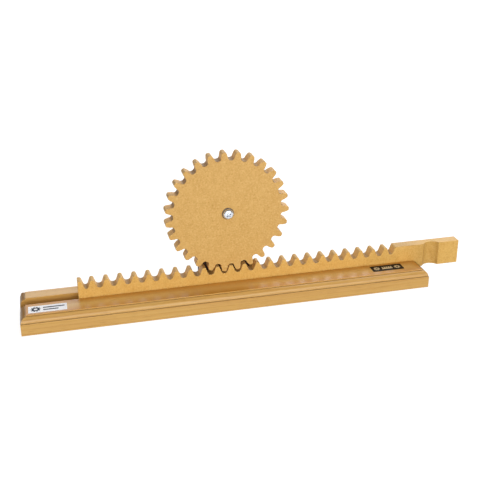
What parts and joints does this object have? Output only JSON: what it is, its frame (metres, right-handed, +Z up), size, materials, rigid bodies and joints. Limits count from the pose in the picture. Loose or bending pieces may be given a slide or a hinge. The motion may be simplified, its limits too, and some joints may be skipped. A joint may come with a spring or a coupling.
{
  "type": "rack and pinion demonstration model",
  "caption": "Wooden classroom rack and pinion: a straight rack with a finger-grip handle slides in a channelled, moulded board and turns a gear on a post.",
  "frame": {"origin": "centre of the board's underside, straight below the pinion's axle", "axes": "+X along the rack towards its handle, +Y from the front ledge to the post behind the rack, +Z up"},
  "size_m": [0.4889, 0.066, 0.1645],
  "materials": {
    "varnished_wood": "satin varnish, grain along the board",
    "fibreboard": "medium-density fibreboard, thin clear lacquer, fine speckle",
    "dark_fibreboard": "fibreboard stained dark brown, matt",
    "zinc_steel": "bright zinc plate",
    "dull_steel": "plain steel, dulled brown",
    "white_vinyl": "printed white sticker",
    "black_vinyl": "printed black sticker"
  },
  "bodies": {
    "frame": {"base_board": "varnished_wood", "support_post": "dark_fibreboard", "post_screw_left": "zinc_steel", "post_screw_right": "zinc_steel", "pivot_screw": "zinc_steel", "front_washer": "dull_steel", "spacer_washer": "zinc_steel", "rear_washer": "zinc_steel", "pivot_nut": "zinc_steel", "maker_label": "white_vinyl", "part_label": "black_vinyl"},
    "rack": {"rack": "fibreboard"},
    "pinion": {"pinion_gear": "fibreboard"}
  },
  "joints": [
    {"name": "rack_slide", "type": "slide", "parent": "frame", "child": "rack", "axis": [1, 0, 0], "range_m": [-0.17, 0.138]},
    {"name": "pinion_spin", "type": "hinge", "parent": "frame", "child": "pinion", "pos_m": [0, 0.0039, 0.09825], "axis": [0, -1, 0], "range_deg": [-154, 125]}
  ],
  "couplings": [
    {"joint": "pinion_spin", "follows": "rack_slide", "rad_per_m": 15.76}
  ]
}
